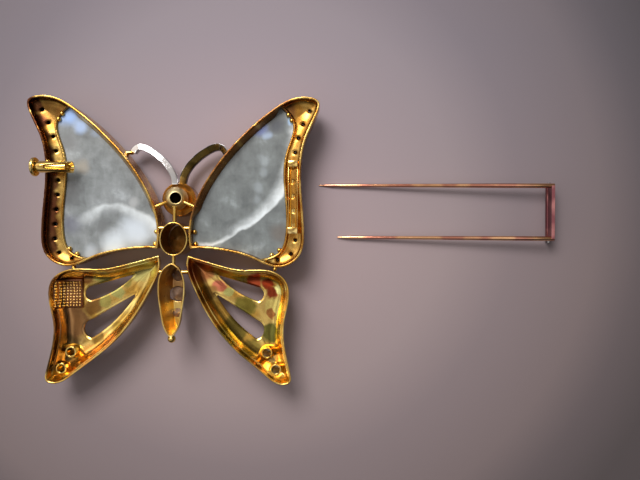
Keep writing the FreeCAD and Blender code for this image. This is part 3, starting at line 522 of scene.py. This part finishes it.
def plane_tree(places):
    """A search tree of places, to measure a distance from them in the plane."""
    tree = KDTree(len(places))
    for number, place in enumerate(places):
        tree.insert((place.x, place.y, 0.0), number)
    tree.balance()
    return tree


def line_tree(edges):
    """The same for places all along some edges."""
    places = []
    for edge in edges:
        start, end = (vertex.co for vertex in edge.verts)
        count = math.ceil((end - start).length / (TREE_STEP * MM)) + 1
        places += [start.lerp(end, step / count) for step in range(count + 1)]
    return plane_tree(places)


def at_level(edge, level):
    """Whether an edge lies at a height in mm."""
    return all(abs(vertex.co.z - level * MM) < LEVEL_SLACK * MM for vertex in edge.verts)


def beside_wall(edge):
    """Whether one of an edge's faces is upright."""
    return any(abs(face.normal.z) < UPRIGHT for face in edge.link_faces)


def outer_loop(edges):
    """The edges that hang together with the outermost one."""
    kept, loop = set(edges), set()
    waiting = [max(kept, key=lambda edge: edge.verts[0].co.y)]
    while waiting:
        edge = waiting.pop()
        if edge not in loop:
            loop.add(edge)
            waiting += [other for vertex in edge.verts for other in vertex.link_edges if other in kept]
    return loop


def smooth_step(value, low, high):
    """0 at low, 1 at high, and soft at both ends."""
    share = min(1.0, max(0.0, (value - low) / (high - low)))
    return share * share * (3 - 2 * share)


print("points along an edge every", TREE_STEP, "mm")

# %% [markdown]
# ### Lower wings
# Each is a deep dish with two pointed openings. CAD gives it a flat floor and two straight slopes. Here the
# inside is filled out to one smooth curve, steep at the rim and ever flatter inwards, and slow waves bend its
# reflections. The edges of the openings are filed to a slope of about sixteen degrees, which is what makes
# their lower edges flash. Spots of colour stand for what each wing mirrors: olive, brown and red on a bright
# yellow ground.

# %% Lower wings
# All in mm. Heights are counted from the floor.
RIM_LEVEL = 7.0
SHELL_FRONT = 3.0
SHELL_TOP = 3.45
RIM_WIDTH = 0.35
RIM_KEPT = 0.2           # this much of the rim keeps its shape
DISH_RISE = 2.2          # rise at the wall
DISH_REACH = 1.1         # distance over which the rise falls to about a third
DISH_BLEND = 0.4         # softness of the bend between dish and wall
WAVE_LENGTH = 5.0
WAVE_HEIGHT = 0.25
WAVE_FROM, WAVE_FULL = 0.4, 2.4      # distances from the rim
FILED_WIDTH = 0.36
FILED_SLOPE = 0.28       # mm down for each mm across
FACES_UP = 0.05          # Z of the normal of what counts as floor
LOWER_VOXEL, LOWER_ROUNDS = 0.12, 8
# (x, y, radius, colour, strength) of what the gold mirrors.
LOWER_SPOTS = {
    "left": [(-19.5, -15.5, 4.4, "#946A4A", 0.9), (-21.6, -21.8, 3.2, "#54402A", 0.95),
             (-20.0, -19.0, 2.4, "#6A5232", 0.9), (-21.4, -8.8, 3.0, "#7A4E36", 0.85),
             (-15.4, -12.4, 2.0, "#8A6238", 0.85), (-6.5, -5.4, 2.8, "#F2E890", 0.85),
             (-9.2, -7.4, 1.6, "#A89C50", 0.8), (-13.6, -7.2, 1.8, "#E6D878", 0.85),
             (-16.4, -7.2, 1.5, "#A8683C", 0.8), (-11.0, -9.8, 1.5, "#D6DC8A", 0.85),
             (-13.4, -11.4, 1.4, "#C8C470", 0.8), (-10.8, -16.2, 1.8, "#A88838", 0.8),
             (-12.0, -18.4, 2.0, "#FFC060", 0.9), (-14.4, -18.2, 1.4, "#8A6830", 0.8),
             (-16.0, -21.2, 2.4, "#FFBE62", 0.9), (-19.0, -23.4, 1.6, "#F8B050", 0.8)],
    "right": [(4.6, -5.6, 2.8, "#B87048", 0.9), (7.4, -8.6, 1.7, "#D87060", 0.85),
              (5.6, -9.8, 2.0, "#96703A", 0.85), (9.4, -9.7, 1.3, "#E0E490", 0.9),
              (12.4, -12.2, 2.4, "#8C8438", 0.9), (11.6, -6.6, 1.5, "#FFE680", 0.8),
              (14.0, -7.6, 1.9, "#C4442C", 0.92), (16.6, -8.0, 1.4, "#B02E1E", 0.92),
              (17.2, -10.0, 1.5, "#921E18", 0.92), (18.8, -9.0, 1.2, "#FFF8A0", 0.9),
              (17.8, -12.4, 2.2, "#FFEE90", 0.9), (17.3, -13.8, 0.9, "#B0582E", 0.8),
              (16.9, -17.0, 2.3, "#6A6A30", 0.95), (10.4, -16.6, 3.0, "#867A3A", 0.9),
              (13.6, -20.0, 2.2, "#807238", 0.85), (15.2, -21.8, 1.8, "#C09A5C", 0.9),
              (17.4, -20.8, 1.8, "#B8985E", 0.9), (18.6, -23.4, 1.6, "#C4A468", 0.9)],
}
shell_rise = {}
for side in ("left", "right"):
    node = "lower_wing_" + side
    mesh = merged_copy(node)
    rim = line_tree([edge for edge in mesh.edges if at_level(edge, RIM_LEVEL)])
    openings = line_tree([edge for edge in mesh.edges if at_level(edge, SHELL_FRONT) and beside_wall(edge)])
    mesh.free()

    def rise(x, y, rim=rim):
        """How far the curved floor stands above the flat one, in millimetres."""
        distance = max(0.0, rim.find((x, y, 0.0))[2] / MM - RIM_WIDTH)
        wave = (noise.noise(Vector((x, y, 0.0)) / (WAVE_LENGTH * MM)) + 0.5) * WAVE_HEIGHT
        return DISH_RISE * math.exp(-distance / DISH_REACH) + wave * smooth_step(distance, WAVE_FROM, WAVE_FULL)

    def dish(vertex, rise=rise, openings=openings):
        """Lifts a vertex of the shell to the curved floor, and files it near an opening."""
        place = vertex.co
        height = place.z / MM
        if vertex.normal.z < FACES_UP or height > RIM_LEVEL - RIM_KEPT:
            return
        filled = SHELL_TOP + rise(place.x, place.y)
        place.z = (height + filled + math.hypot(height - filled, DISH_BLEND) - DISH_BLEND) / 2 * MM
        filed = max(0.0, FILED_WIDTH - openings.find((place.x, place.y, 0.0))[2] / MM) * FILED_SLOPE
        place.z -= filed * MM

    shell_rise[side] = rise
    gold = metal("cast_yellow_gold_lower_" + side, LIGHT_GOLD, DEEP_GOLD, 0.2, 0.14, 0.002, LOWER_SPOTS[side],
                 drift=1.2)
    cast(node, LOWER_VOXEL, LOWER_ROUNDS, dish, gold)

# %% [markdown]
# ### Frames of the upper wings
# The outer side of each frame is a trough. Its floor turns up into the outer wall in a wide curve, and the
# drilled holes in it are a little narrower than CAD has them, because polishing drags gold over their edges.
# Along the leading edge the wall is burnished over the panel, so there its inner face is a slope, not a step.
# The left trough mirrors something dark along its outer half, and the right leading edge something brown.

# %% Frames of the upper wings
# All in mm. The leading edge is given for the right wing, and mirrored for the left one.
TROUGH_FLOOR = 5.0
TROUGH_BELOW = 4.0       # nothing under this level moves
PANEL_BACK = 5.3
COVE_RISE = 1.3
COVE_REACH = 0.9
BEZEL_REACH = 0.75       # how far the burnished wall leans over the panel
LEADING_ROOT = Vector((2.75, 2.8))
LEADING_TIP = Vector((23.6, 25.5))
LEADING_START, LEADING_END = (0.02, 0.1), (0.86, 0.78)   # shares of its length where it begins and ends
LEADING_SIDE = (0.5, -0.5)                               # mm across it
BEZEL_FROM = (0.1, 0.35) # mm from the outline, where the wall's inner face begins to lean
BEZEL_SLACK = 0.1
HOLE_SHRINK = 0.14
HOLE_NEAR, HOLE_EDGE = 0.9, 0.42     # distances from a hole's axis: untouched, and pulled in fully
FLOOR_SLACK = 0.3        # the holes narrow up to this far above the floor
UPPER_VOXEL, UPPER_ROUNDS = 0.14, 4
LEFT_SHADE = [(-25.7, 24.0), (-24.8, 21.0), (-24.2, 18.2), (-23.5, 15.6), (-23.1, 13.6), (-22.9, 11.6),
              (-22.8, 9.4), (-22.7, 7.2), (-22.7, 5.0), (-22.7, 2.8), (-22.8, 0.6), (-22.8, -1.6)]
RIGHT_SHADE = [(4.0, 5.0), (5.6, 8.6), (7.8, 12.0), (10.4, 15.2), (13.4, 18.4), (16.6, 21.2), (19.4, 23.2)]
UPPER_SPOTS = {
    "left": [(-23.2, 22.9, 2.4, "#8A6634", 0.9), (-20.6, 22.8, 1.8, "#8A6030", 0.8)]
    + [(x, y, 1.75, "#5A3222", 0.95) for x, y in LEFT_SHADE] + [(-21.4, -3.6, 1.5, "#A0642C", 0.8)],
    "right": [(x, y, 2.6, "#7A4A2C", 0.85) for x, y in RIGHT_SHADE],
}
for side, sign in (("left", -1), ("right", 1)):
    node = "upper_wing_frame_" + side
    mesh = merged_copy(node)
    rims = [edge for edge in mesh.edges if at_level(edge, RIM_LEVEL) and beside_wall(edge)]
    outline = line_tree(outer_loop(rims))
    mesh.free()
    stones = merged_copy("band_stones_" + side)
    top = max(vertex.co.z for vertex in stones.verts) - LEVEL_SLACK * MM
    holes = plane_tree([vertex.co.copy() for vertex in stones.verts if vertex.co.z > top])
    stones.free()

    def cove(vertex, outline=outline, holes=holes, sign=sign):
        """Narrows the holes, leans the leading edge's wall over the panel, and rounds the trough's floor."""
        place = vertex.co
        height = place.z / MM
        if height < TROUGH_BELOW:
            return
        hole, _, away = holes.find((place.x, place.y, 0.0))
        if away < HOLE_NEAR * MM and height < TROUGH_FLOOR + FLOOR_SLACK:
            pull = HOLE_SHRINK * smooth_step(away / MM, HOLE_NEAR, HOLE_EDGE)
            place += Vector((hole.x - place.x, hole.y - place.y, 0.0)).normalized() * pull * MM
        near, _, distance = outline.find((place.x, place.y, 0.0))
        distance /= MM
        along = Vector((sign * place.x, place.y)) / MM - LEADING_ROOT
        chord = LEADING_TIP - LEADING_ROOT
        share = along.dot(chord) / chord.length_squared
        leading = smooth_step(share, *LEADING_START) * smooth_step(share, *LEADING_END)
        leading *= smooth_step(along.cross(chord) / chord.length, *LEADING_SIDE)
        depth = min(1.0, max(0.0, (RIM_LEVEL - height) / (RIM_LEVEL - PANEL_BACK)))
        if leading > 0.0 and height > PANEL_BACK - BEZEL_SLACK:
            inwards = Vector((place.x - near.x, place.y - near.y, 0.0))
            reach = BEZEL_REACH * depth * leading * smooth_step(distance, *BEZEL_FROM)
            place += inwards.normalized() * reach * MM
        weight = min(1.0, max(0.0, (RIM_LEVEL - height) / (RIM_LEVEL - TROUGH_FLOOR)))
        weight *= min(1.0, (height - TROUGH_BELOW) / (TROUGH_FLOOR - TROUGH_BELOW)) * (1.0 - leading)
        place.z += COVE_RISE * math.exp(-distance / COVE_REACH) * weight * MM

    gold = metal("cast_yellow_gold_upper_" + side, "#DCB868", "#BC883C", 0.24, 0.08, 0.002, UPPER_SPOTS[side],
                 drift=0.5, inside_only=True)
    cast(node, UPPER_VOXEL, UPPER_ROUNDS, cove, gold, dark_near=holes)

# %% [markdown]
# ### Small castings and turned pieces
# The body and the settings are softened like the wings, with cubes as small as they need. The catch, the
# hinge and the fork are sawn, filed and turned, so they keep crisp forms. Their edges only get the narrow
# bevel that a file leaves, and that bevel is what draws a bright line along them.

# %% Small castings
# The head's setting gets the gold painted dark as shade.
SMALL_CASTINGS = {"centre_collet": (0.08, yellow_gold), "wing_tubes_left": (0.06, yellow_gold),
                  "wing_tubes_right": (0.06, yellow_gold), "abdomen_shell": (0.09, abdomen_gold),
                  "head_collet": (0.1, head_setting_painted_shade_gold)}
for node, (voxel, gold) in SMALL_CASTINGS.items():
    cast(node, voxel, material=gold)

# %% Filed and turned pieces
SHARP = math.radians(28)     # an edge that bends more is filed
FLAT = math.radians(1)       # faces that bend less are one
# Width of the filed edge, in mm.
FILED = {"catch_tube": 0.07, "catch_slider": 0.05, "catch_knob": 0.03, "hinge_ear_upper": 0.1,
         "hinge_ear_lower": 0.1, "hinge_cradle": 0.1, "fork_web": 0.2, "prong_long": 0.03, "prong_short": 0.03}
# The fork's sheet gets the rose gold painted darker as shade.
FORK_METALS = {"fork_web": web_painted_shade_gold, "prong_long": rose_gold, "prong_short": rose_gold}
for node, width in FILED.items():
    mesh = merged_copy(node)
    bmesh.ops.dissolve_limit(mesh, angle_limit=FLAT, verts=mesh.verts, edges=mesh.edges)
    sharp = [edge for edge in mesh.edges if len(edge.link_faces) == 2 and edge.calc_face_angle() > SHARP]
    bmesh.ops.bevel(mesh, geom=sharp, offset=width * MM, offset_type="OFFSET", segments=2, profile=0.5,
                    affect="EDGES", clamp_overlap=True, material=-1)
    material, slot = bright_gold, "yellow_gold"
    if node in FORK_METALS:
        material, slot = FORK_METALS[node], "rose_gold"
    piece = finished(mesh, node + "_filed", node, [material])
    piece.data.set_sharp_from_angle(angle=SHARP)

# %% [markdown]
# ### Antennae
# They are bands of white gold. Each back leans a little, as a hand-soldered band does: the left one towards
# its outer edge, so it throws the window's light straight up, and the right one the other way, so it mirrors
# the dark side of the room, and only its outer edge flashes. A line along the band tells which side of its
# middle a vertex is on, and the vertex sinks or rises with that distance.

# %% Antennae
# The middle line of the right band, in mm. It is mirrored for the left one.
ANTENNA_LINE = [(0.7, 10.0), (1.65, 12.95), (3.1, 14.65), (5.3, 16.3), (7.4, 16.95), (8.55, 15.9)]
ANTENNA_MIDDLE = 2.9         # mm, half its height: only what is above leans
ANTENNA_VOXEL, ANTENNA_ROUNDS = 0.07, 6
# The right band's back is also darkened by spots of painted shade in its metal.
for side, sign, slope in (("left", -1, 0.3), ("right", 1, -0.85)):
    def lean(vertex, sign=sign, slope=slope):
        """Tilts the back of the band about its middle line."""
        place = vertex.co
        flat = Vector((sign * place.x, place.y)) / MM
        offsets = []
        for start, end in zip(ANTENNA_LINE, ANTENNA_LINE[1:]):
            start, run = Vector(start), Vector(end) - Vector(start)
            share = min(1.0, max(0.0, (flat - start).dot(run) / run.length_squared))
            away = flat - start - run * share
            offsets.append((away.length, math.copysign(away.length, run.cross(away))))
        if place.z / MM > ANTENNA_MIDDLE:
            place.z -= slope * min(offsets)[1] * MM

    cast("antenna_" + side, ANTENNA_VOXEL, ANTENNA_ROUNDS, lean, white_gold_and_painted_shade)

# %% [markdown]
# ### Plate
# A thin plate is soldered to the floor of the left lower wing. On the real jewel it carries small raised
# marks. Here it is left without any sign, with only rows of plain grains, and it follows the dish.

# %% Plate
# All in mm.
PLATE_X = (-21.9, -17.3)
PLATE_Y = (-12.7, -7.5)
PLATE_LIFT = 0.3
PLATE_PARTS = 20         # the grid is fine enough to follow the dish
GRAIN_PITCH = 0.52
GRAIN_START = 0.9        # pitches from the plate's edge to the first grain
GRAIN_R = 0.19
plate_width, plate_height = PLATE_X[1] - PLATE_X[0], PLATE_Y[1] - PLATE_Y[0]
plate = bmesh.new()
bmesh.ops.create_grid(plate, x_segments=PLATE_PARTS, y_segments=PLATE_PARTS, size=0.5)
bmesh.ops.scale(plate, verts=plate.verts, vec=(plate_width * MM, plate_height * MM, 1.0))
bmesh.ops.translate(plate, verts=plate.verts, vec=Vector((sum(PLATE_X) / 2, sum(PLATE_Y) / 2, 0.0)) * MM)
lifted = bmesh.ops.extrude_face_region(plate, geom=plate.faces[:])["geom"]
lifted = [item for item in lifted if isinstance(item, bmesh.types.BMVert)]
bmesh.ops.translate(plate, verts=lifted, vec=(0, 0, PLATE_LIFT * MM))
bmesh.ops.recalc_face_normals(plate, faces=plate.faces)
plain = len(plate.faces)
for column in range(int(plate_width / GRAIN_PITCH)):
    for row in range(int(plate_height / GRAIN_PITCH)):
        place = Vector((PLATE_X[0] + (column + GRAIN_START) * GRAIN_PITCH,
                        PLATE_Y[0] + (row + GRAIN_START) * GRAIN_PITCH, PLATE_LIFT))
        bmesh.ops.create_icosphere(plate, subdivisions=2, radius=GRAIN_R * MM,
                                   matrix=Matrix.Translation(place * MM))
plate.faces.ensure_lookup_table()
for face in plate.faces[plain:]:
    face.material_index = 1
for vertex in plate.verts:
    vertex.co.z += (SHELL_TOP + shell_rise["left"](vertex.co.x, vertex.co.y)) * MM
plate_gold = metal("stamped_yellow_gold_plate", "#8A5E40", "#6A4430", 0.3)
finished(plate, "plate_grained", "bare_plate", [plate_gold, bright_gold])

# %% [markdown]
# ## Head
# The head is a hollow ball with a round hole on top, turned on a lathe. So is this one: half of its section is
# drawn once and spun round. The inside is painted nearly black, as painted shade inside the hollow ball.

# %% Lathe
def arc(middle, radius, start, end, count):
    """Points of an arc in the section plane, as (distance from the axis, height), angles in degrees."""
    places = []
    for number in range(count + 1):
        angle = math.radians(start + (end - start) * number / count)
        places.append((middle[0] + radius * math.cos(angle), middle[1] + radius * math.sin(angle)))
    return places


def lathe(section, centre, steps=64):
    """Spins a section round an upright axis: closed when its ends meet."""
    mesh = bmesh.new()
    places = [mesh.verts.new((r * MM, 0.0, z * MM)) for r, z in section]
    edges = [mesh.edges.new(pair) for pair in zip(places, places[1:] + places[:1])]
    bmesh.ops.spin(mesh, geom=places + edges, axis=(0, 0, 1), cent=(0, 0, 0), angle=math.tau, steps=steps,
                   use_merge=True)
    bmesh.ops.remove_doubles(mesh, verts=mesh.verts, dist=JOIN)
    bmesh.ops.recalc_face_normals(mesh, faces=mesh.faces)
    bmesh.ops.translate(mesh, verts=mesh.verts, vec=Vector(centre) * MM)
    return mesh


print("a quarter turn of a 1 mm arc ends at", [round(v, 3) for v in arc((0, 0), 1, 0, 90, 4)[-1]])

# %% Head ball
HEAD_PLACE = (0.0, 7.3, 5.2)
HEAD_TILT = 9.0     # degrees, the hole looks a little to the right
BALL_R, BALL_WALL, HOLE_R = 2.1, 0.3, 0.95       # mm
LIP_ANGLE = 2       # degrees by which the outside stops short, which slopes the hole's lip
outer_angle = math.degrees(math.acos(HOLE_R / BALL_R))
inner_angle = math.degrees(math.acos(HOLE_R / (BALL_R - BALL_WALL)))
section = arc((0, 0), BALL_R, -90, outer_angle - LIP_ANGLE, 40)
section += arc((0, 0), BALL_R - BALL_WALL, inner_angle, -90, 30)
ball = lathe(section, HEAD_PLACE)
bmesh.ops.rotate(ball, verts=ball.verts, cent=Vector(HEAD_PLACE) * MM,
                 matrix=Matrix.Rotation(math.radians(HEAD_TILT), 3, "Y"))
for face in ball.faces:
    inside = (face.calc_center_median() - Vector(HEAD_PLACE) * MM).length < (BALL_R - 0.5 * BALL_WALL) * MM
    face.material_index = 1 if inside else 0
finished(ball, "head_ball_turned", "head_ball", [ball_gold, painted_shade_inside_gold])

# %% [markdown]
# ## Cut stones
# CAD has the large oval stone as two smooth cones. A real one is cut in flat facets, and the flats are what
# flashes, so it is rebuilt from two cones with few sides, and shaded flat. The small stones stay smooth, since
# only their dull backs and the holes behind them show.

# %% Cut stone
STONE_RADII = (2.2, 2.7)                                  # mm
STONE_TABLE, STONE_GIRDLE, STONE_CULET = 0.0, 1.7, 3.9    # heights in mm: the table looks down
TABLE_SHARE, CULET_SHARE = 0.6, 0.05                      # widths, as shares of the girdle's
STONE_SIDES = 12
centre = bmesh.new()
for base, top, bottom_share, top_share in ((STONE_TABLE, STONE_GIRDLE, TABLE_SHARE, 1.0),
                                           (STONE_GIRDLE, STONE_CULET, 1.0, CULET_SHARE)):
    oval = Matrix.Diagonal((STONE_RADII[0] * MM, STONE_RADII[1] * MM, 1.0, 1.0))
    place = Matrix.Translation(Vector((0.0, 0.0, (base + top) / 2)) * MM)
    bmesh.ops.create_cone(centre, cap_ends=True, cap_tris=False, segments=STONE_SIDES, radius1=bottom_share,
                          radius2=top_share, depth=(top - base) * MM, matrix=place @ oval)
bmesh.ops.remove_doubles(centre, verts=centre.verts, dist=JOIN)
finished(centre, "centre_stone_cut", "centre_stone", [brown_quartz], smooth=False)

# %% [markdown]
# ## The pieces that stay as CAD made them
# Wires, links, beads, claws, panels and small stones are already right, and only take their finish.

# %% Materials of the pieces that stay
FINISH = {"yellow_gold": yellow_gold, "rose_gold": rose_gold, "white_metal": white_gold_and_painted_shade, "steel": steel,
          "brilliant": brilliant, "brown_stone": brown_quartz, "dark_stone": grey_backs,
          "mother_of_pearl": nacre_left}
SLOT_OF = {part["node"]: part["material_slot"] for part in frame["record"]["subparts"]}
for node, piece in frame["nodes"].items():
    piece.data.materials.clear()
    piece.data.materials.append(nacre_right if node == "pearl_panel_right" else FINISH[SLOT_OF[node]])
print("finished", len(frame["nodes"]), "CAD pieces")
